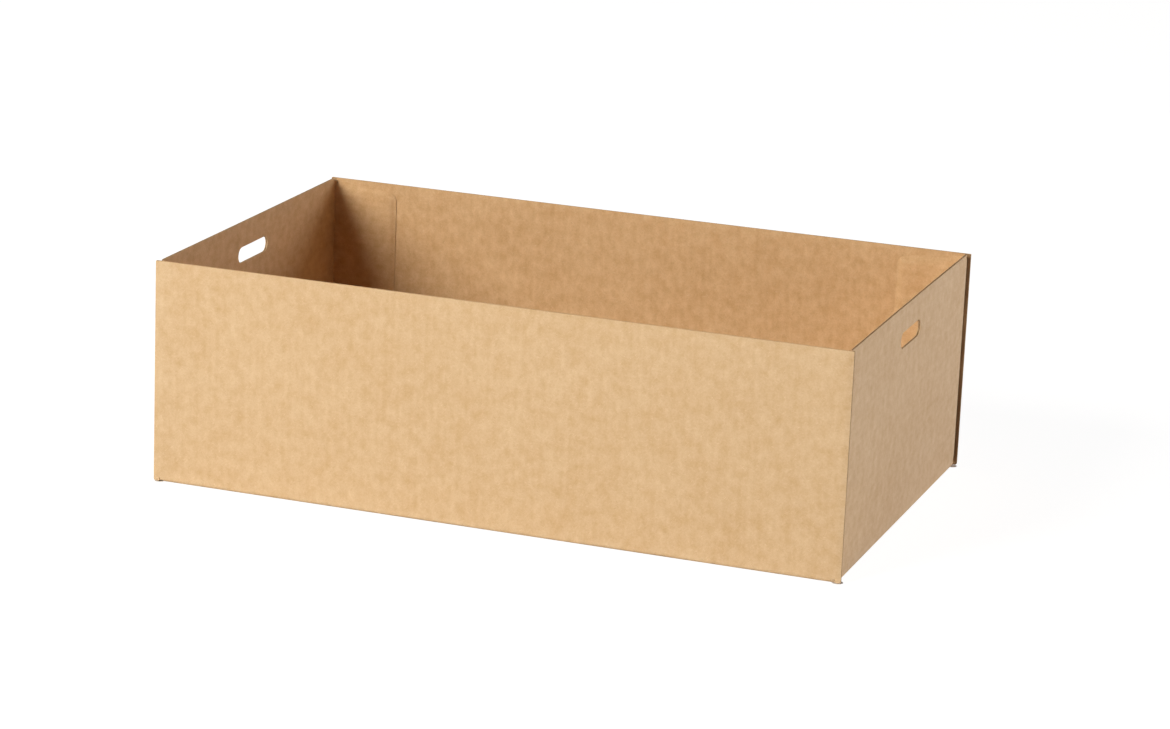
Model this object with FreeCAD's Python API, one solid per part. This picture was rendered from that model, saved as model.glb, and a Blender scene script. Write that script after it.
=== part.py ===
import FreeCAD, Part
import os
from math import radians, tan

# Open tray folded from one die-cut sheet of kraft corrugated board, in millimetres.
# The origin is at the middle of the underside, +X runs along the long walls and +Z is up.

V = FreeCAD.Vector

# Outside of the finished tray
length = 320.0
width = 194.0
height = 101.5

# Board and folds
board = 1.5
fold_inner = 0.5

# Cut ends of the long walls, which stand proud of the end walls
end_reveal = 1.0
toe_round = 0.8
toe_lift = 0.4

# Corner flaps, folded from the end walls and glued inside the long walls
flap_reach = 32.0
flap_taper = 6.0
flap_round = 5.0
flap_drop = 1.0
flap_lift = 1.5
glue_press = 0.1

# Finger slots, one in each end wall
slot_length = 32.0
slot_height = 7.5
slot_drop = 15.5

# Planes that follow from the sizes above
fold_outer = fold_inner + board
end_face = length / 2 - end_reveal
side_face = width / 2
side_inside = side_face - board
fold_x = end_face - fold_outer
fold_y = side_face - fold_outer
flap_back = side_inside + glue_press
corner_y = flap_back - fold_outer
flap_low = fold_outer + flap_lift
flap_top = height - flap_drop
flap_tip = end_face - board - flap_reach


def channel(floor_half, run_half, along_x):
    """A strip of floor with a fold and a standing wall at both ends of its section."""
    folds_end = floor_half + fold_inner
    walls_end = floor_half + fold_outer
    turn = fold_inner * 0.5 ** 0.5
    turn_out = fold_outer * 0.5 ** 0.5

    def at(across, up):
        if along_x:
            return V(-run_half, across, up)
        return V(across, -run_half, up)

    def arc(start, middle, end):
        return Part.Arc(at(*start), at(*middle), at(*end)).toShape()

    def line(start, end):
        return Part.makeLine(at(*start), at(*end))

    edges = [
        line((-walls_end, height), (-walls_end, fold_outer)),
        arc((-walls_end, fold_outer), (-floor_half - turn_out, fold_outer - turn_out), (-floor_half, 0)),
        line((-floor_half, 0), (floor_half, 0)),
        arc((floor_half, 0), (floor_half + turn_out, fold_outer - turn_out), (walls_end, fold_outer)),
        line((walls_end, fold_outer), (walls_end, height)),
        line((walls_end, height), (folds_end, height)),
        line((folds_end, height), (folds_end, fold_outer)),
        arc((folds_end, fold_outer), (floor_half + turn, fold_outer - turn), (floor_half, board)),
        line((floor_half, board), (-floor_half, board)),
        arc((-floor_half, board), (-floor_half - turn, fold_outer - turn), (-folds_end, fold_outer)),
        line((-folds_end, fold_outer), (-folds_end, height)),
        line((-folds_end, height), (-walls_end, height)),
    ]
    run = V(2 * run_half, 0, 0) if along_x else V(0, 2 * run_half, 0)
    return Part.Face(Part.Wire(edges)).extrude(run)


def edges_along_y_at(solid, x):
    """The edges of a plate that run through its thickness at the given x."""
    found = []
    for edge in solid.Edges:
        start, end = edge.firstVertex().Point, edge.lastVertex().Point
        across = abs(start.x - x) < board / 10 and abs(end.x - x) < board / 10
        if across and abs(start.z - end.z) < board / 10:
            found.append(edge)
    return found


def long_wall():
    """The full-length wall at +Y, whose cut ends reach past the end walls and down to their toes."""
    wall = Part.makeBox(length, board, height - fold_outer, V(-length / 2, side_inside, fold_outer))
    past_fold = length / 2 - fold_x
    toes = []
    for x in (-length / 2, fold_x):
        toes.append(Part.makeBox(past_fold, board, fold_outer - toe_lift, V(x, side_inside, toe_lift)))
    wall = wall.multiFuse(toes).removeSplitter()

    tips = []
    for edge in edges_along_y_at(wall, length / 2) + edges_along_y_at(wall, -length / 2):
        if abs(edge.CenterOfMass.z - toe_lift) < board / 10:
            tips.append(edge)
    return wall.makeFillet(toe_round, tips)


def corner_flap():
    """The flap at the +X, +Y corner, with the fold that joins it to the end wall."""
    axis = V(fold_x, corner_y, flap_low)
    rise = flap_top - flap_low
    round_out = Part.makeCylinder(fold_outer, rise, axis, V(0, 0, 1), 90)
    round_in = Part.makeCylinder(fold_inner, rise, axis, V(0, 0, 1), 90)
    fold = round_out.cut(round_in)

    slope = (fold_x - flap_tip) * tan(radians(flap_taper))
    front = flap_back - board
    outline = Part.makePolygon([
        V(fold_x, front, flap_low),
        V(flap_tip, front, flap_low + slope),
        V(flap_tip, front, flap_top - slope),
        V(fold_x, front, flap_top),
        V(fold_x, front, flap_low),
    ])
    plate = Part.Face(outline).extrude(V(0, board, 0))
    plate = plate.makeFillet(flap_round, edges_along_y_at(plate, flap_tip))
    return fold.fuse(plate)


def finger_slots():
    """One long cutter with round ends that opens the slot in both end walls."""
    half = slot_length / 2 - slot_height / 2
    middle = height - slot_drop
    bar = Part.makeBox(length, 2 * half, slot_height, V(-length / 2, -half, middle - slot_height / 2))
    for y in (-half, half):
        end = Part.makeCylinder(slot_height / 2, length, V(-length / 2, y, middle), V(1, 0, 0))
        bar = bar.fuse(end)
    return bar


def at_both_sides(shape, normal):
    """The shape and its mirror image in the plane through the origin."""
    return [shape, shape.mirror(V(0, 0, 0), normal)]


def folded_tray():
    """The whole folded and glued sheet as one solid."""
    along = channel(fold_y, fold_x, True)
    across = channel(fold_x, corner_y, False)
    panels = at_both_sides(long_wall(), V(0, 1, 0))
    flaps = []
    for flap in at_both_sides(corner_flap(), V(1, 0, 0)):
        flaps += at_both_sides(flap, V(0, 1, 0))
    tray = along.multiFuse([across] + panels + flaps)
    return tray.cut(finger_slots()).removeSplitter()


def export(shape, name):
    os.makedirs("parts", exist_ok=True)
    solid = shape.Solids[0]
    solid.exportStep("parts/" + name + ".step")
    box = solid.BoundBox
    print(name, "solids", len(shape.Solids), "valid", solid.isValid(), "closed", solid.isClosed())
    print("size", round(box.XLength, 3), round(box.YLength, 3), round(box.ZLength, 3))
    print("volume", round(solid.Volume, 1), "faces", len(solid.Faces))


export(folded_tray(), "folded_tray")
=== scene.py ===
from math import ceil, cos, exp, pi, radians, sin, tan

import bmesh
import bpy
from mathutils import Matrix, Vector, noise
from mathutils.geometry import delaunay_2d_cdt
from mathutils.kdtree import KDTree


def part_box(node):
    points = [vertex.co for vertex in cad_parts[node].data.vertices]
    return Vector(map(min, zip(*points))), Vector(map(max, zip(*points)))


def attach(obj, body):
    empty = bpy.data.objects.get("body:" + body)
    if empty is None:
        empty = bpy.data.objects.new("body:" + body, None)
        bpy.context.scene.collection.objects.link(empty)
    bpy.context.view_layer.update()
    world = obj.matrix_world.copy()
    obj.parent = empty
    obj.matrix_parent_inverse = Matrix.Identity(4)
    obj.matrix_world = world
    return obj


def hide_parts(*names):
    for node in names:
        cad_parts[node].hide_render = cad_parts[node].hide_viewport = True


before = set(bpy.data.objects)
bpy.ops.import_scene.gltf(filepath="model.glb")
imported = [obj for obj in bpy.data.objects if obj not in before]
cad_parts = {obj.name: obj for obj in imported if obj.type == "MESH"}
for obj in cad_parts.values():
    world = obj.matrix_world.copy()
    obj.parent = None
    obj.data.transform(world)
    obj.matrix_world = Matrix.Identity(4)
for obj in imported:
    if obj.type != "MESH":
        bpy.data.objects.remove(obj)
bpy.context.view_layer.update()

# The tray is one die-cut sheet of kraft corrugated board. It is drawn flat here, as its blank,
# and then folded: u runs along the long walls of the blank, v across them, both in millimetres
# from the middle of the floor, and depth is measured from the middle of the board outwards.

MM = 0.001
low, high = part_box("folded_tray")

# The sheet is drawn this much smaller than the solid, so that rounding can't carry it past the box
rounding = 0.0001
length, width, height = [(high[axis] - low[axis]) / MM - rounding for axis in range(3)]

# Board: two liners with fluted paper between them, seen in a shallow hollow along every cut edge
board = 1.5
liner = 0.28
flute_pitch = 3.2
flute_phase = 0.25
flute_paper = 0.2
hollow_reach = 0.4
paper_set_back = 0.05
paper_rows = 4
flute_columns = 12

# Folds, and how far the board is crushed beside them
fold_inner = 0.5
fold_middle = fold_inner + board / 2
fold_outer = fold_inner + board
fold_run = fold_middle * pi / 2
fold_steps = 8
crush = 0.16
crush_reach = 2.2
crush_rows = (0.5, 1.1, 1.8, 2.8, 4.5)

# The cutting die also nips the board along every cut edge, and the glue press nips the flaps more
nip = 0.28
nip_reach = 1.3
flap_nip = 0.78
flap_nip_reach = 2.2
nip_rows = (0.5, 1.1, 2.0, 3.4)

# Long walls' cut ends, corner flaps and finger slots
end_reveal = 1.0
toe_round = 0.8
toe_lift = 0.4
toe_slit = 0.25
flap_reach = 32.0
flap_taper = radians(6.0)
flap_round = 5.0
flap_drop = 1.0
flap_lift = 1.5
glue_press = 0.1
# How far past the flap's fold the painted groove shade starts
groove_shade_from = 0.4
flap_spring = 0.05
flap_spring_reach = 9.0
slot_length = 32.0
slot_height = 7.5
slot_drop = 15.5
round_steps = 8

# How far a real sheet is from flat
wall_bow = 0.4
end_bow = wall_bow * 0.7
bow_rise = 2
bow_hold = 5
unevenness = 0.09
unevenness_scale = 55.0
unevenness_seed = 7.0

# The mesh: its grid, the places along a cut edge, edges that meet and points that count as one
grid_step = 8.0
cut_step = 0.4
meeting = 1e-5
same_point = 0.002
paper_seam = 0.001
sharp_edge = radians(40.0)
paper_sharp_edge = radians(50.0)

# Places in the blank that follow from the sizes
half_length = length / 2
end_face = half_length - end_reveal
fold_u = end_face - fold_outer
fold_v = width / 2 - fold_outer
corner_v = width / 2 - board + glue_press - fold_outer
wall_u = fold_u + fold_run
wall_v = fold_v + fold_run
flap_v = corner_v + fold_run
rim_u = wall_u + height - fold_outer
rim_v = wall_v + height - fold_outer
flap_top_u = rim_u - flap_drop
flap_low_u = wall_u + flap_lift
flap_tip_v = flap_v + flap_reach - (fold_outer - board)
slot_u = rim_u - slot_drop
toe_v = wall_v - (fold_outer - toe_lift)


def srgb(red, green, blue):
    """A colour given in 8-bit display values, as the renderer's linear values."""
    def linear(level):
        level /= 255
        return level / 12.92 if level <= 0.04045 else ((level + 0.055) / 1.055) ** 2.4
    return linear(red), linear(green), linear(blue), 1.0


# The blank

def rounded(before, corner, after, radius):
    """Points of the arc that rounds a corner between two straight edges."""
    before, corner, after = Vector(before), Vector(corner), Vector(after)
    back = (before - corner).normalized()
    on = (after - corner).normalized()
    half = back.angle(on) / 2
    centre = corner + (back + on).normalized() * radius / sin(half)
    start = corner + back * radius / tan(half) - centre
    end = corner + on * radius / tan(half) - centre
    sweep = start.angle_signed(end)
    points = []
    for step in range(round_steps + 1):
        arm = Matrix.Rotation(-sweep * step / round_steps, 2) @ start
        points.append(tuple(centre + arm))
    return points


def quarter_outline():
    """The blank's edge from the end wall's rim round to the long wall's rim, in one quarter."""
    slope = (flap_tip_v - flap_v) * tan(flap_taper)
    tip_top = (flap_top_u - slope, flap_tip_v)
    tip_low = (flap_low_u + slope, flap_tip_v)
    slit = fold_u + toe_slit
    toe = (half_length, toe_v)
    points = [(rim_u, corner_v), (flap_top_u, corner_v), (flap_top_u, flap_v)]
    points += rounded((flap_top_u, flap_v), tip_top, tip_low, flap_round)
    points += rounded(tip_top, tip_low, (flap_low_u, flap_v), flap_round)
    points += [(flap_low_u, flap_v), (flap_low_u, corner_v), (fold_u, corner_v), (fold_u, wall_v)]
    points += [(slit, wall_v), (slit, toe_v)]
    points += rounded((slit, toe_v), toe, (half_length, rim_v), toe_round)
    points.append((half_length, rim_v))
    return points


def blank_outline():
    """The whole edge of the blank, anticlockwise."""
    quarter = quarter_outline()
    left = [(-u, v) for u, v in reversed(quarter)]
    opposite = [(-u, -v) for u, v in quarter]
    right = [(u, -v) for u, v in reversed(quarter)]
    return quarter + left + opposite + right


def slot_outline(side):
    """A finger slot with round ends, in the end wall on one side."""
    radius = slot_height / 2
    middle = slot_length / 2 - radius
    points = []
    for step in range(2 * round_steps + 1):
        angle = pi * step / (2 * round_steps)
        points.append((radius * cos(angle), middle + radius * sin(angle)))
    points += [(-u, -v) for u, v in points]
    return [(side * slot_u + u, v) for u, v in points]


def inset(outline, distance):
    """The points of a closed outline moved to its left, into the board, by a distance."""
    moved = []
    for before, here, after in zip(outline[-1:] + outline[:-1], outline, outline[1:] + outline[:1]):
        arriving = (Vector(here) - Vector(before)).normalized()
        leaving = (Vector(after) - Vector(here)).normalized()
        normal_in = Vector((-arriving.y, arriving.x))
        normal_out = Vector((-leaving.y, leaving.x))
        mitre = (normal_in + normal_out) / (1 + normal_in.dot(normal_out))
        moved.append(Vector(here) + mitre * distance)
    return moved


def inside(point, outline):
    """Whether a point lies within a closed outline."""
    u, v = point
    found = False
    for (u1, v1), (u2, v2) in zip(outline, outline[1:] + outline[:1]):
        if (v1 > v) != (v2 > v) and u < u1 + (v - v1) * (u2 - u1) / (v2 - v1):
            found = not found
    return found


def rows_near(fold_start):
    """Places of the mesh rows over a fold and over the pressed board on both sides of it."""
    rows = [fold_start + fold_run * step / fold_steps for step in range(fold_steps + 1)]
    for away in crush_rows:
        rows += [fold_start - away, fold_start + fold_run + away]
    return rows


def even_rows(limit, taken):
    """Evenly spaced rows up to a limit on both sides, clear of those that are taken."""
    count = ceil(limit / grid_step)
    rows = [limit * step / count for step in range(-count + 1, count)]
    clear = grid_step / 3
    return [row for row in rows if min(abs(row - other) for other in taken) > clear]


def both_signs(rows):
    return [sign * row for row in rows for sign in (-1, 1)]


def blank_loops():
    """All cut edges as closed outlines with the board on their left: the blank's and the slots'."""
    return [blank_outline(), slot_outline(-1)[::-1], slot_outline(1)[::-1]]


def cut_blank():
    """Triangles over the blank, with rows of points along every fold and over every panel."""
    loops = blank_loops()
    fold_rows_u = both_signs(rows_near(fold_u))
    fold_rows_v = both_signs(rows_near(fold_v))
    flap_rows_v = both_signs(rows_near(corner_v))
    points, edges = [], []

    def add_edge(start, end):
        edges.append((len(points), len(points) + 1))
        points.extend([Vector(start), Vector(end)])

    for u in fold_rows_u + even_rows(rim_u, fold_rows_u):
        add_edge((u, -rim_v), (u, rim_v))
    for v in even_rows(rim_v, fold_rows_v + flap_rows_v):
        add_edge((-rim_u, v), (rim_u, v))
    for v in fold_rows_v:
        add_edge((-half_length, v), (half_length, v))
    for v in flap_rows_v:
        for side in (-1, 1):
            add_edge((side * fold_u, v), (side * rim_u, v))
    for loop in loops:
        for row in [loop] + [inset(loop, distance) for distance in nip_rows]:
            for start, end in zip(row, row[1:] + row[:1]):
                add_edge(start, end)

    whole_hull = 0
    found = delaunay_2d_cdt(points, edges, [], whole_hull, meeting, False)
    spots = [tuple(spot) for spot in found[0]]
    triangles = []
    for triangle in found[2]:
        middle = tuple(sum(spots[i][axis] for i in triangle) / 3 for axis in (0, 1))
        if inside(middle, loops[0]) and not any(inside(middle, hole) for hole in loops[1:]):
            triangles.append((triangle, in_long_wall(*middle)))
    return spots, triangles


def in_long_wall(u, v):
    """Whether a place in the blank belongs to a long wall or its fold."""
    u, v = abs(u), abs(v)
    if u > fold_u:
        return u < half_length and v > toe_v
    return v > fold_v


# Folding

def places_along_cuts():
    """Closely spaced places along every cut edge, to find how far a point is from the nearest."""
    places = []
    for loop in blank_loops():
        for start, end in zip(loop, loop[1:] + loop[:1]):
            run = Vector(end) - Vector(start)
            count = ceil(run.length / cut_step)
            places += [Vector(start) + run * step / count for step in range(count)]
    tree = KDTree(len(places))
    for index, place in enumerate(places):
        tree.insert(place.to_3d(), index)
    tree.balance()
    return tree


cut_places = places_along_cuts()


def cut_at(u, v, reach):
    """How near a place is to a cut edge, from 0 well inside the board to 1 on the edge."""
    gap = cut_places.find((u, v, 0))[2]
    return exp(-(gap / reach) ** 2)


def turn(run, depth):
    """Where a point lies past the start of a fold: how far out, and how far up."""
    if run <= 0:
        return run, board / 2 - depth
    if run < fold_run:
        angle = run / fold_middle
        return (fold_middle + depth) * sin(angle), fold_outer - (fold_middle + depth) * cos(angle)
    return fold_middle + depth, fold_outer + run - fold_run


def off_fold(run):
    """Distance from a fold, nought within it."""
    return max(-run, run - fold_run, 0.0)


def crease_at(u, v, long_wall):
    """How strongly the board is pressed by the nearest crease, from 0 to 1."""
    u, v = abs(u), abs(v)
    gaps = [off_fold(v - fold_v)] if long_wall or u < fold_u else []
    if not long_wall:
        gaps.append(off_fold(u - fold_u))
    if u > wall_u and not long_wall:
        gaps.append(off_fold(v - corner_v))
    return exp(-(min(gaps) / crush_reach) ** 2)


def unfolded_dip(u, v):
    """How far the board wanders inwards from its true plane."""
    wander = noise.noise(Vector((u, v, unevenness_seed)) / unevenness_scale)
    return unevenness * (0.5 + 0.5 * wander)


def spring_back(v):
    """How far a flap's free end stands off the wall that it is glued to."""
    near_tip = (v - flap_tip_v + flap_spring_reach) / flap_spring_reach
    return flap_spring * max(near_tip, 0.0) ** 2


def bowed(point):
    """The walls' slight inward bow, strongest in the middle of each rim."""
    x, y, z = point
    rise = (z / height) ** bow_rise
    along = cos(pi * x / length) * rise * wall_bow
    across = cos(pi * y / width) * rise * end_bow
    near_end = (2 * x / length) ** bow_hold
    near_side = (2 * y / width) ** bow_hold
    return Vector((x - across * near_end, y - along * near_side, z))


def folded(u, v, depth, long_wall):
    """A place in the blank, at a depth in the board, as a point of the folded tray in metres."""
    side_u = 1 if u >= 0 else -1
    side_v = 1 if v >= 0 else -1
    dip = unfolded_dip(u, v)
    depth *= 1 - crush * crease_at(u, v, long_wall)
    if abs(u) > fold_u and abs(v) > flap_v and not long_wall:
        left = 1 - flap_nip * cut_at(u, v, flap_nip_reach)
        depth = board / 2 - (board / 2 - depth) * left
    else:
        depth *= 1 - nip * cut_at(u, v, nip_reach)
    depth -= dip
    u, v = abs(u), abs(v)
    if long_wall and u > fold_u + toe_slit / 2:
        point = (u, fold_v + fold_middle + depth, fold_outer + v - wall_v)
    elif long_wall:
        out, up = turn(v - fold_v, depth)
        point = (u, fold_v + out, up)
    elif u > fold_u and v > corner_v:
        out, back = turn(v - corner_v, depth)
        point = (end_face - back, corner_v + out - spring_back(v), fold_outer + u - wall_u)
    else:
        out, up = turn(u - fold_u, depth)
        point = (fold_u + out, v, up)
    point = bowed(point)
    return Vector((point.x * side_u, point.y * side_v, point.z)) * MM


# The sheet

class Sheet:
    """Collects the sheet's faces, with each point's place in the blank and its crease kept on it."""

    def __init__(self):
        self.mesh = bmesh.new()
        self.flat = self.mesh.verts.layers.float_vector.new("sheet")
        self.crease = self.mesh.verts.layers.float.new("crease")
        self.known = {}

    def point(self, spot, depth, long_wall):
        place = folded(spot[0], spot[1], depth, long_wall)
        key = tuple(round(value / (same_point * MM)) for value in place)
        if key not in self.known:
            vert = self.mesh.verts.new(place)
            vert[self.flat] = Vector((spot[0], spot[1], depth)) * MM
            vert[self.crease] = crease_at(spot[0], spot[1], long_wall)
            self.known[key] = vert
        return self.known[key]

    def face(self, corners, finish):
        corners = [vert for i, vert in enumerate(corners) if vert not in corners[:i]]
        if len(corners) > 2 and not self.mesh.faces.get(corners):
            self.mesh.faces.new(corners).material_index = finish


def cut_loops(spots, triangles):
    """The blank's cut edges as closed loops of (spot, spot, long_wall), board on the left."""
    edges = {}
    for corners, long_wall in triangles:
        for start, end in zip(corners, corners[1:] + corners[:1]):
            edges[(start, end)] = long_wall
    onward = {start: (end, wall) for (start, end), wall in edges.items() if (end, start) not in edges}
    loops = []
    while onward:
        first = next(iter(onward))
        start, loop = first, []
        while start in onward:
            end, long_wall = onward.pop(start)
            loop.append((start, end, long_wall))
            start = end
        loops.append(loop)
    return loops


def set_back(spots, loop):
    """For each point of a cut loop, the point of the board that lies a hollow's reach behind it."""
    moved = inset([spots[start] for start, _, _ in loop], hollow_reach)
    return {start: place for (start, _, _), place in zip(loop, moved)}


# Places of the three finishes in the sheet's list of materials
FACE, EDGE, HOLLOW = 0, 1, 2


def build_sheet(spots, triangles, loops):
    """The two liners over the whole tray, parted along every cut edge by a shallow hollow."""
    sheet = Sheet()
    outside, inside_face = board / 2, -board / 2
    gap = board / 2 - liner
    for corners, long_wall in triangles:
        outer = [sheet.point(spots[i], outside, long_wall) for i in corners]
        inner = [sheet.point(spots[i], inside_face, long_wall) for i in corners]
        sheet.face(outer, FACE)
        sheet.face(inner[::-1], FACE)
    for loop in loops:
        behind = set_back(spots, loop)
        for start, end, long_wall in loop:
            rows = []
            for i in (start, end):
                steps = [(spots[i], outside), (spots[i], gap), (behind[i], gap),
                         (behind[i], -gap), (spots[i], -gap), (spots[i], inside_face)]
                rows.append([sheet.point(spot, depth, long_wall) for spot, depth in steps])
            for step, finish in enumerate((EDGE, FACE, HOLLOW, FACE, EDGE)):
                here, there = rows
                sheet.face([here[step], here[step + 1], there[step + 1], there[step]], finish)
    bmesh.ops.recalc_face_normals(sheet.mesh, faces=sheet.mesh.faces)
    return finished_piece("kraft_sheet", sheet.mesh, [kraft_face(), cut_edge(), flute_shadow()])


def finished_piece(name, mesh, materials):
    """A mesh object with smooth faces and sharp cut edges."""
    data = bpy.data.meshes.new(name)
    mesh.to_mesh(data)
    mesh.free()
    data.shade_smooth()
    data.set_sharp_from_angle(angle=sharp_edge)
    for material in materials:
        data.materials.append(material)
    piece = bpy.data.objects.new(name, data)
    bpy.context.scene.collection.objects.link(piece)
    return piece


# The fluted paper along the cut edges

def flute_strip(spots, loops):
    """Flat strips in the middle of the board behind every cut edge, for the flutes to be made on."""
    mesh = bmesh.new()
    across = mesh.verts.layers.float_vector.new("across")
    along = mesh.verts.layers.float.new("blank_u")
    first_row = paper_set_back / hollow_reach
    swing = board / 2 - liner - flute_paper / 2

    def point(spot, long_wall):
        top = folded(spot.x, spot.y, swing, long_wall)
        bottom = folded(spot.x, spot.y, -swing, long_wall)
        vert = mesh.verts.new((top + bottom) / 2)
        vert[across] = (top - bottom) / 2
        vert[along] = spot.x * MM
        return vert

    for loop in loops:
        behind = set_back(spots, loop)
        for start, end, long_wall in loop:
            edge = [Vector(spots[start]), Vector(spots[end])]
            back = [behind[start], behind[end]]
            run = edge[1] - edge[0]
            count = ceil(max(abs(run.x) / (flute_pitch / flute_columns), run.length / grid_step))
            columns = []
            for step in range(count + 1):
                share = step / count
                front_spot = edge[0].lerp(edge[1], share)
                back_spot = back[0].lerp(back[1], share)
                column = []
                for row in range(paper_rows + 1):
                    reach = first_row + row / paper_rows * (1 - first_row)
                    column.append(point(front_spot.lerp(back_spot, reach), long_wall))
                columns.append(column)
            for here, there in zip(columns, columns[1:]):
                for row in range(paper_rows):
                    mesh.faces.new([here[row], here[row + 1], there[row + 1], there[row]])
    bmesh.ops.remove_doubles(mesh, verts=mesh.verts, dist=same_point * MM)
    return finished_piece("fluted_paper", mesh, [])


def flute_tree():
    """Bends flat strips into the board's flutes and gives the paper its thickness."""
    tree = bpy.data.node_groups.new("corrugate", "GeometryNodeTree")
    face = tree.interface
    face.new_socket("Strips", in_out="INPUT", socket_type="NodeSocketGeometry")
    face.new_socket("Flute pitch", in_out="INPUT", socket_type="NodeSocketFloat")
    face.new_socket("Flute phase", in_out="INPUT", socket_type="NodeSocketFloat")
    face.new_socket("Paper thickness", in_out="INPUT", socket_type="NodeSocketFloat")
    face.new_socket("Paper", in_out="INPUT", socket_type="NodeSocketMaterial")
    face.new_socket("Flutes", in_out="OUTPUT", socket_type="NodeSocketGeometry")

    def add(kind, **settings):
        made = tree.nodes.new(kind)
        for name, value in settings.items():
            setattr(made, name, value)
        return made

    def join(source, target):
        tree.links.new(source, target)

    inputs = add("NodeGroupInput")
    outputs = add("NodeGroupOutput")
    blank_u = add("GeometryNodeInputNamedAttribute", data_type="FLOAT")
    blank_u.inputs["Name"].default_value = "blank_u"
    across = add("GeometryNodeInputNamedAttribute", data_type="FLOAT_VECTOR")
    across.inputs["Name"].default_value = "across"

    flutes = add("ShaderNodeMath", operation="DIVIDE")
    join(blank_u.outputs["Attribute"], flutes.inputs[0])
    join(inputs.outputs["Flute pitch"], flutes.inputs[1])
    shifted = add("ShaderNodeMath", operation="ADD")
    join(flutes.outputs[0], shifted.inputs[0])
    join(inputs.outputs["Flute phase"], shifted.inputs[1])
    angle = add("ShaderNodeMath", operation="MULTIPLY")
    angle.inputs[1].default_value = 2 * pi
    join(shifted.outputs[0], angle.inputs[0])
    wave = add("ShaderNodeMath", operation="SINE")
    join(angle.outputs[0], wave.inputs[0])
    offset = add("ShaderNodeVectorMath", operation="SCALE")
    join(across.outputs["Attribute"], offset.inputs[0])
    join(wave.outputs[0], offset.inputs["Scale"])
    bent = add("GeometryNodeSetPosition")
    join(inputs.outputs["Strips"], bent.inputs["Geometry"])
    join(offset.outputs[0], bent.inputs["Offset"])

    thick = add("GeometryNodeExtrudeMesh", mode="FACES")
    thick.inputs["Individual"].default_value = False
    join(bent.outputs[0], thick.inputs["Mesh"])
    join(inputs.outputs["Paper thickness"], thick.inputs["Offset Scale"])
    under = add("GeometryNodeFlipFaces")
    join(bent.outputs[0], under.inputs["Mesh"])
    both = add("GeometryNodeJoinGeometry")
    join(thick.outputs["Mesh"], both.inputs[0])
    join(under.outputs[0], both.inputs[0])
    closed = add("GeometryNodeMergeByDistance")
    closed.inputs["Distance"].default_value = paper_seam * MM
    join(both.outputs[0], closed.inputs[0])
    real = add("GeometryNodeRealizeInstances")
    join(closed.outputs[0], real.inputs[0])
    painted = add("GeometryNodeSetMaterial")
    join(real.outputs[0], painted.inputs["Geometry"])
    join(inputs.outputs["Paper"], painted.inputs["Material"])
    join(painted.outputs[0], outputs.inputs[0])
    return tree


def corrugate(strip):
    """Runs the flute tree on the strips and keeps the result as a plain mesh."""
    tree = flute_tree()
    values = {
        "Flute pitch": flute_pitch * MM,
        "Flute phase": flute_phase,
        "Paper thickness": flute_paper * MM,
        "Paper": flute_paper_finish(),
    }
    modifier = strip.modifiers.new("corrugate", "NODES")
    modifier.node_group = tree
    for socket in tree.interface.items_tree:
        if socket.name in values:
            modifier[socket.identifier] = values[socket.name]
    shown = strip.evaluated_get(bpy.context.evaluated_depsgraph_get())
    plain = bpy.data.meshes.new_from_object(shown)
    strip.modifiers.remove(modifier)
    strip.data = plain
    plain.shade_smooth()
    plain.set_sharp_from_angle(angle=paper_sharp_edge)
    return strip


# Finishes

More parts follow.
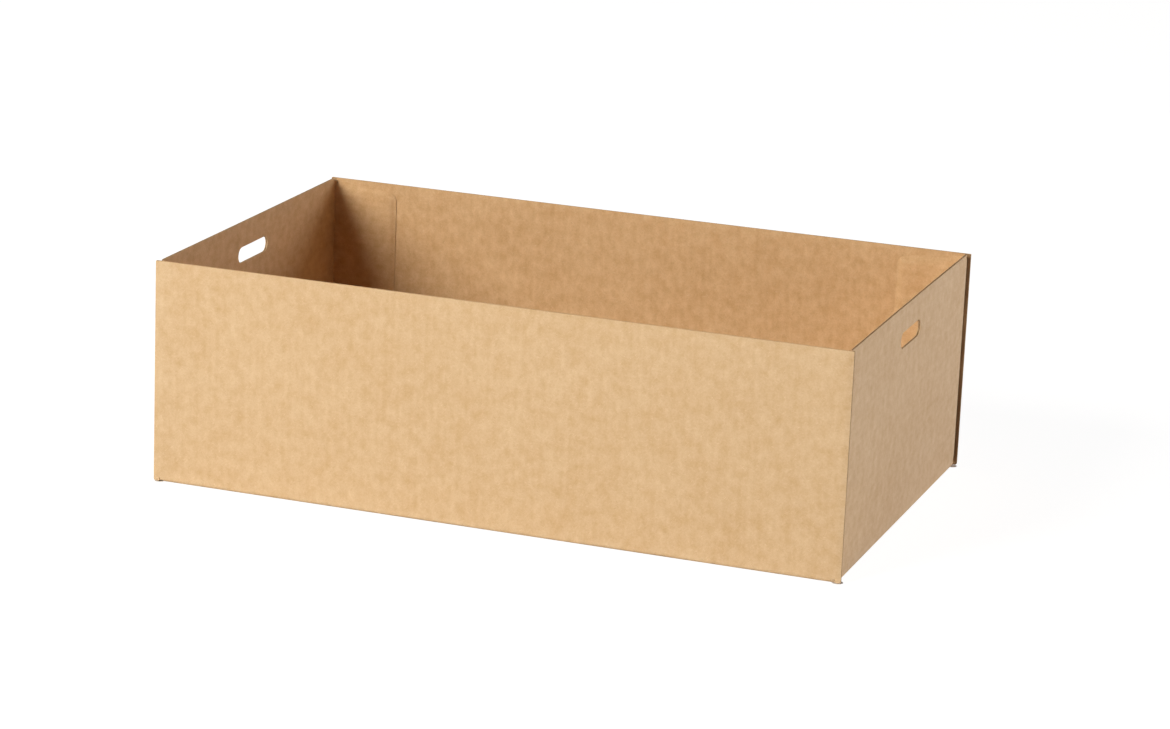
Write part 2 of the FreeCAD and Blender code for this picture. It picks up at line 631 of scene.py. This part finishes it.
class Finish:
    """A material under construction, with short ways to add and join its nodes."""

    def __init__(self, name):
        self.material = bpy.data.materials.new(name)
        self.material.use_nodes = True
        self.tree = self.material.node_tree
        self.shader = self.tree.nodes["Principled BSDF"]

    def add(self, kind, **settings):
        made = self.tree.nodes.new(kind)
        for name, value in settings.items():
            setattr(made, name, value)
        return made

    def join(self, source, target):
        self.tree.links.new(source, target)

    def value(self, operation, *terms):
        """One step of arithmetic on sockets and plain numbers."""
        step = self.add("ShaderNodeMath", operation=operation)
        for socket, term in zip(step.inputs, terms):
            if isinstance(term, (int, float)):
                socket.default_value = term
            else:
                self.join(term, socket)
        return step.outputs[0]

    def flat_place(self):
        """The place in the blank, so that grain and flutes follow the sheet round its folds."""
        return self.add("ShaderNodeAttribute", attribute_name="sheet").outputs["Vector"]

    def stretched(self, place, sizes, angle=0.0):
        """The place measured in spots of the given sizes in millimetres, turned by an angle."""
        turned = self.add("ShaderNodeMapping", vector_type="TEXTURE")
        turned.inputs["Rotation"].default_value = (0, 0, angle)
        turned.inputs["Scale"].default_value = [size * MM for size in sizes]
        self.join(place, turned.inputs["Vector"])
        return turned.outputs[0]

    def spots(self, place, sizes, detail=2.0, rough=0.5, angle=0.0):
        """Smooth random variation about nought, in spots of the given sizes in millimetres."""
        field = self.add("ShaderNodeTexNoise", noise_dimensions="3D")
        field.inputs["Scale"].default_value = 1.0
        field.inputs["Detail"].default_value = detail
        field.inputs["Roughness"].default_value = rough
        self.join(self.stretched(place, sizes, angle), field.inputs["Vector"])
        return self.value("SUBTRACT", field.outputs["Fac"], 0.5)

    def step_up(self, source, start, end):
        """A smooth rise from 0 to 1 between two values."""
        rise = self.add("ShaderNodeMapRange", interpolation_type="SMOOTHSTEP")
        rise.inputs["From Min"].default_value = start
        rise.inputs["From Max"].default_value = end
        self.join(source, rise.inputs["Value"])
        return rise.outputs["Result"]

    def flutes(self, place):
        """The wave of the flutes under the paper, from -1 to 1, its crests against this liner."""
        parts = self.add("ShaderNodeSeparateXYZ")
        self.join(place, parts.inputs[0])
        turns = self.value("MULTIPLY_ADD", parts.outputs["X"], 1 / (flute_pitch * MM), flute_phase)
        wave = self.value("SINE", self.value("MULTIPLY", turns, 2 * pi))
        return self.value("MULTIPLY", wave, self.value("SIGN", parts.outputs["Z"]))

    def faces_in(self, place):
        """1 on the tray's inner liner and 0 on its outer one."""
        parts = self.add("ShaderNodeSeparateXYZ")
        self.join(place, parts.inputs[0])
        return self.value("LESS_THAN", parts.outputs["Z"], 0.0)

    def past_flaps(self, place):
        """1 on a long wall beyond the fold of the flap that is glued to it, and 0 elsewhere."""
        sides = self.add("ShaderNodeVectorMath", operation="ABSOLUTE")
        self.join(place, sides.inputs[0])
        parts = self.add("ShaderNodeSeparateXYZ")
        self.join(sides.outputs[0], parts.inputs[0])
        beyond = self.value("GREATER_THAN", parts.outputs["X"], (fold_u + groove_shade_from) * MM)
        on_length = self.value("LESS_THAN", parts.outputs["X"], (half_length + glue_press) * MM)
        on_wall = self.value("GREATER_THAN", parts.outputs["Y"], toe_v * MM)
        return self.value("MULTIPLY", self.value("MULTIPLY", beyond, on_length), on_wall)

    def fibres(self, place, size, angles):
        """Sparse thin fibres lying at the given angles, from 0 to 1."""
        found = 0.0
        for angle in angles:
            ridges = self.spots(place, size, detail=1.0, angle=angle)
            found = self.value("MAXIMUM", self.step_up(ridges, FIBRE_START, FIBRE_FULL), found)
        return found

    def blend(self, share, first, second):
        """A mix of two colours, each a socket or a plain colour."""
        mixed = self.add("ShaderNodeMix", data_type="RGBA")
        self.join(share, mixed.inputs["Factor"])
        for socket, colour in ((mixed.inputs["A"], first), (mixed.inputs["B"], second)):
            if isinstance(colour, tuple):
                socket.default_value = colour
            else:
                self.join(colour, socket)
        return mixed.outputs["Result"]

    def total(self, *terms):
        """The sum of (socket, weight) pairs."""
        result = 0.0
        for socket, weight in terms:
            result = self.value("MULTIPLY_ADD", socket, weight, result)
        return result

    def relief(self, height_in_mm):
        """A bump whose height is given in millimetres."""
        bump = self.add("ShaderNodeBump")
        bump.inputs["Distance"].default_value = MM
        self.join(height_in_mm, bump.inputs["Height"])
        self.join(bump.outputs[0], self.shader.inputs["Normal"])


KRAFT_LIGHT = srgb(226, 199, 162)
KRAFT_DARK = srgb(200, 163, 116)
INNER_LIGHT = srgb(239, 204, 159)
INNER_DARK = srgb(203, 159, 109)
FIBRE_LIGHT = srgb(246, 222, 186)
FIBRE_DARK = srgb(168, 126, 82)
# Painted shade for the shadowed groove between an end wall's corner fold and the long wall's proud
# end
GROOVE_SHADE = srgb(104, 72, 44)
# Paler than the faces: pale torn fibre ends, and painted light that lifts the rims, which face up and
# get little of the key
CUT_LIGHT = srgb(242, 214, 174)
CUT_DARK = srgb(212, 180, 138)
FLUTE_LIGHT = srgb(232, 202, 162)
FLUTE_DARK = srgb(198, 166, 126)
# Painted shade for the back of the shallow hollow, standing for the dark inside the deep flutes
HOLLOW_SHADE_LIGHT = srgb(205, 172, 132)
HOLLOW_SHADE_DARK = srgb(172, 140, 102)

# Where a fibre starts to show and shows fully, and how much the fibres and the painted groove shade
# cover
FIBRE_START = 0.17
FIBRE_FULL = 0.27
PALE_FIBRES = 0.45
DARK_FIBRES = 0.40
GROOVE_SHADE_COVER = 0.62

# A tone midway between a finish's dark colour and its light one
MIDWAY = 0.5


def kraft_face():
    """The liner's face: mottled brown paper with fibres, the flutes showing faintly through, and
    painted shade in the corner grooves.
    """
    kraft = Finish("kraft liner")
    place = kraft.flat_place()
    clouds = kraft.spots(place, (34, 46, 0.6), detail=2.0)
    mottle = kraft.spots(place, (4.3, 5.0, 0.6), detail=2.5, rough=0.55)
    grain = kraft.spots(place, (0.7, 0.9, 0.6), detail=3.0, rough=0.6)
    flutes = kraft.flutes(place)
    crease = kraft.add("ShaderNodeAttribute", attribute_name="crease").outputs["Fac"]

    tone = kraft.total((clouds, 0.32), (mottle, 1.05), (grain, 0.7), (flutes, 0.025), (crease, 0.10))
    level = kraft.value("ADD", tone, MIDWAY)
    outer = kraft.blend(level, KRAFT_DARK, KRAFT_LIGHT)
    inner = kraft.blend(level, INNER_DARK, INNER_LIGHT)
    colour = kraft.blend(kraft.faces_in(place), outer, inner)
    pale = kraft.fibres(place, (2.6, 0.17, 0.6), (0.2, -0.9))
    dark = kraft.fibres(place, (1.9, 0.14, 0.6), (0.65, -0.35))
    colour = kraft.blend(kraft.value("MULTIPLY", pale, PALE_FIBRES), colour, FIBRE_LIGHT)
    colour = kraft.blend(kraft.value("MULTIPLY", dark, DARK_FIBRES), colour, FIBRE_DARK)
    # Painted shade, in patches, on the inner face of each long wall's end past the flap's fold, where
    # the corner groove lies in shadow
    groove_shade = kraft.value("MULTIPLY", kraft.past_flaps(place), kraft.faces_in(place))
    patches = kraft.value("ADD", kraft.spots(place, (30, 26, 0.6), detail=1.0), GROOVE_SHADE_COVER)
    colour = kraft.blend(kraft.value("MULTIPLY", groove_shade, patches), colour, GROOVE_SHADE)
    kraft.join(colour, kraft.shader.inputs["Base Color"])

    gloss = kraft.total((grain, 0.25), (mottle, 0.12))
    kraft.join(kraft.value("ADD", gloss, 0.80), kraft.shader.inputs["Roughness"])
    kraft.shader.inputs["Specular IOR Level"].default_value = 0.35
    kraft.relief(kraft.total((flutes, 0.009), (mottle, 0.030), (grain, 0.022), (pale, 0.006)))
    return kraft.material


def cut_edge():
    """The liner's cut edge: torn fibre ends, a little paler than the faces, the paleness partly
    painted light that lifts the upward rims, which the low key lights weakly.
    """
    cut = Finish("cut liner edge")
    place = cut.flat_place()
    grain = cut.spots(place, (0.35, 0.35, 0.2), detail=3.0, rough=0.65)
    wear = cut.spots(place, (6.0, 6.0, 0.6), detail=2.0)
    tone = cut.total((grain, 1.6), (wear, 0.7))
    colour = cut.blend(cut.value("ADD", tone, MIDWAY), CUT_DARK, CUT_LIGHT)
    cut.join(colour, cut.shader.inputs["Base Color"])
    cut.shader.inputs["Roughness"].default_value = 0.92
    cut.shader.inputs["Specular IOR Level"].default_value = 0.2
    cut.relief(cut.value("MULTIPLY", grain, 0.06))
    return cut.material


def flute_shadow():
    """The painted shade at the back of the shallow hollow behind a cut edge, standing for the dark of
    the flutes that run on out of sight.
    """
    shade = Finish("inside the flutes")
    spots = shade.spots(shade.flat_place(), (1.6, 1.6, 0.4), detail=2.0)
    tone = shade.value("ADD", spots, MIDWAY)
    shade.join(shade.blend(tone, HOLLOW_SHADE_DARK, HOLLOW_SHADE_LIGHT), shade.shader.inputs["Base Color"])
    shade.shader.inputs["Roughness"].default_value = 0.95
    shade.shader.inputs["Specular IOR Level"].default_value = 0.1
    return shade.material


def flute_paper_finish():
    """The thin fluted paper between the liners."""
    paper = Finish("fluted paper")
    place = paper.add("ShaderNodeTexCoord").outputs["Object"]
    grain = paper.spots(place, (0.4, 0.4, 0.4), detail=3.0, rough=0.6)
    tone = paper.value("MULTIPLY_ADD", grain, 1.5, MIDWAY)
    paper.join(paper.blend(tone, FLUTE_DARK, FLUTE_LIGHT), paper.shader.inputs["Base Color"])
    paper.shader.inputs["Roughness"].default_value = 0.9
    paper.shader.inputs["Specular IOR Level"].default_value = 0.2
    paper.relief(paper.value("MULTIPLY", grain, 0.03))
    return paper.material


# The studio: the floor, and how much it is lifted for the camera
FLOOR_LOW = (0.84, 0.84, 0.84, 1.0)
FLOOR_HIGH = (0.86, 0.86, 0.86, 1.0)
floor_half = 6.0
glow_share = 0.7
glow_level = 1.33

# How far round the small hole in each corner of the tray the floor isn't lifted, in millimetres
corner_dark = 2.4

# The key light. A light's level of 1 shows a surface that faces it in the surface's own colour.
key_from = Vector((-0.44, -0.66, 0.45))
key_away = 3.0
key_spread = radians(30.0)
key_level = 0.85
key_colour = (1.0, 0.95, 0.86)

# The fill light
fill_from = Vector((0.75, 0.60, 0.30))
fill_spread = radians(30.0)
fill_level = 0.33
fill_colour = (1.0, 0.95, 0.95)

# The cards that stand round the tray: name, direction as x and y, height and level
card_away = 0.9
card_width = 1.2
card_colour = (1.0, 0.97, 1.02)
cards = (
    ("right card", 0.85, 0.53, 0.08, 0.28),
    ("front card", -0.20, -0.98, 0.20, 0.16),
    ("back card", -0.30, 0.95, 0.08, 0.20),
)

# The even light of the room
room_level = 0.006

# The camera, fitted to the tray's corners in the 1170 x 729 frame
frame_px = 1170
focal_px = 3801.7
sensor_mm = 36.0
camera_turn = radians(19.39)
camera_tilt = radians(15.35)
camera_roll = radians(2.37)
tray_right = -0.0097
tray_down = 0.0495
tray_away = 1.7378


def pale_floor_finish():
    """A plain pale table top, lifted to white for the camera but for the tray's soft shadow."""
    floor = Finish("pale floor")
    place = floor.add("ShaderNodeTexCoord").outputs["Object"]
    ray = floor.add("ShaderNodeLightPath")
    seen = ray.outputs["Is Camera Ray"]
    for kind in ("Is Glossy Ray", "Is Transmission Ray"):
        seen = floor.value("MAXIMUM", seen, ray.outputs[kind])
    from_middle = floor.add("ShaderNodeVectorMath", operation="ABSOLUTE")
    floor.join(place, from_middle.inputs[0])
    sides = floor.add("ShaderNodeSeparateXYZ")
    floor.join(from_middle.outputs[0], sides.inputs[0])
    beyond_end = floor.value("GREATER_THAN", sides.outputs["X"], fold_u * MM)
    beyond_side = floor.value("GREATER_THAN", sides.outputs["Y"], fold_v * MM)
    in_the_open = floor.value("MAXIMUM", beyond_end, beyond_side)
    corner_hole = ((fold_u + fold_outer / 2) * MM, (corner_v + fold_outer / 2) * MM, 0)
    from_corner = floor.add("ShaderNodeVectorMath", operation="DISTANCE")
    from_corner.inputs[1].default_value = corner_hole
    floor.join(from_middle.outputs[0], from_corner.inputs[0])
    off_corner = floor.value("GREATER_THAN", from_corner.outputs["Value"], corner_dark * MM)
    in_the_open = floor.value("MULTIPLY", in_the_open, off_corner)
    share = floor.value("MULTIPLY", floor.value("MULTIPLY", seen, in_the_open), glow_share)
    white = floor.add("ShaderNodeEmission")
    white.inputs["Strength"].default_value = glow_level
    mixed = floor.add("ShaderNodeMixShader")
    floor.join(share, mixed.inputs["Fac"])
    floor.join(floor.shader.outputs[0], mixed.inputs[1])
    floor.join(white.outputs[0], mixed.inputs[2])
    floor.join(mixed.outputs[0], floor.tree.nodes["Material Output"].inputs["Surface"])
    cloud = floor.spots(place, (900, 900, 900), detail=1.0)
    tone = floor.value("ADD", cloud, MIDWAY)
    floor.join(floor.blend(tone, FLOOR_LOW, FLOOR_HIGH), floor.shader.inputs["Base Color"])
    floor.shader.inputs["Roughness"].default_value = 1.0
    floor.shader.inputs["Specular IOR Level"].default_value = 0.0
    return floor.material


def make_floor():
    mesh = bmesh.new()
    corners = [(-1, -1), (1, -1), (1, 1), (-1, 1)]
    mesh.faces.new([mesh.verts.new((x * floor_half, y * floor_half, 0)) for x, y in corners])
    data = bpy.data.meshes.new("floor")
    mesh.to_mesh(data)
    mesh.free()
    data.materials.append(pale_floor_finish())
    floor = bpy.data.objects.new("floor", data)
    bpy.context.scene.collection.objects.link(floor)


def aim(lamp, came_from):
    """Puts a lamp in the scene, shining at the tray from a direction."""
    light = bpy.data.objects.new(lamp.name, lamp)
    light.rotation_mode = "QUATERNION"
    light.rotation_quaternion = (-came_from).to_track_quat("-Z", "Y")
    bpy.context.scene.collection.objects.link(light)
    return light


def make_key():
    """The main light: a round soft box at the front left, near enough to fall off along the tray."""
    radius = key_away * tan(key_spread / 2)
    lamp = bpy.data.lights.new("key", "AREA")
    lamp.shape = "DISK"
    lamp.size = 2 * radius
    lamp.energy = key_level * pi ** 2 * (key_away ** 2 + radius ** 2)
    lamp.color = key_colour
    light = aim(lamp, key_from)
    light.location = key_from.normalized() * key_away
    light.visible_camera = False


def make_fill():
    """The weak soft light from far off at the back right, which lifts the left wall's inside."""
    lamp = bpy.data.lights.new("fill", "SUN")
    lamp.energy = fill_level * pi
    lamp.angle = fill_spread
    lamp.color = fill_colour
    aim(lamp, fill_from)


def make_card(name, x, y, height, level):
    """A low card on the floor that lights one side of the tray and hardly reaches its inside."""
    lamp = bpy.data.lights.new(name, "AREA")
    lamp.shape = "RECTANGLE"
    lamp.size, lamp.size_y = card_width, height
    lamp.energy = level * pi ** 2 * card_away ** 2
    lamp.color = card_colour
    side = Vector((x, y, 0)).normalized()
    light = aim(lamp, side)
    light.location = side * card_away + Vector((0, 0, height / 2))
    light.visible_camera = False


def make_room():
    """Even light from all round, and a white room for what the camera and reflections see."""
    world = bpy.data.worlds.new("room")
    bpy.context.scene.world = world
    world.use_nodes = True
    tree = world.node_tree
    sky = tree.nodes["Background"]
    ray = tree.nodes.new("ShaderNodeLightPath")
    seen = ray.outputs["Is Camera Ray"]
    for kind in ("Is Glossy Ray", "Is Transmission Ray"):
        either = tree.nodes.new("ShaderNodeMath")
        either.operation = "MAXIMUM"
        tree.links.new(seen, either.inputs[0])
        tree.links.new(ray.outputs[kind], either.inputs[1])
        seen = either.outputs[0]
    level = tree.nodes.new("ShaderNodeMapRange")
    level.inputs["To Min"].default_value = room_level
    level.inputs["To Max"].default_value = 1.0
    tree.links.new(seen, level.inputs["Value"])
    tree.links.new(level.outputs["Result"], sky.inputs["Strength"])
    sky.inputs["Color"].default_value = (1.0, 1.0, 1.0, 1.0)


def make_camera():
    lens = bpy.data.cameras.new("camera")
    lens.sensor_fit = "HORIZONTAL"
    lens.sensor_width = sensor_mm
    lens.lens = sensor_mm * focal_px / frame_px
    lens.clip_start, lens.clip_end = 0.05, 50.0
    camera = bpy.data.objects.new("camera", lens)
    turned = Matrix.Rotation(camera_turn, 3, "Z") @ Matrix.Rotation(pi / 2 - camera_tilt, 3, "X")
    turned = turned @ Matrix.Rotation(camera_roll, 3, "Z")
    camera.rotation_mode = "QUATERNION"
    camera.rotation_quaternion = turned.to_quaternion()
    camera.location = turned @ Vector((-tray_right, tray_down, tray_away))
    bpy.context.scene.collection.objects.link(camera)
    bpy.context.scene.camera = camera


make_camera()
make_floor()
make_key()
make_fill()
for card in cards:
    make_card(*card)
make_room()

spots, triangles = cut_blank()
loops = cut_loops(spots, triangles)
kraft_sheet = build_sheet(spots, triangles, loops)
fluted_paper = corrugate(flute_strip(spots, loops))
for piece in (kraft_sheet, fluted_paper):
    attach(piece, "root")
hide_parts("folded_tray")

bpy.context.scene.view_settings.view_transform = "Standard"
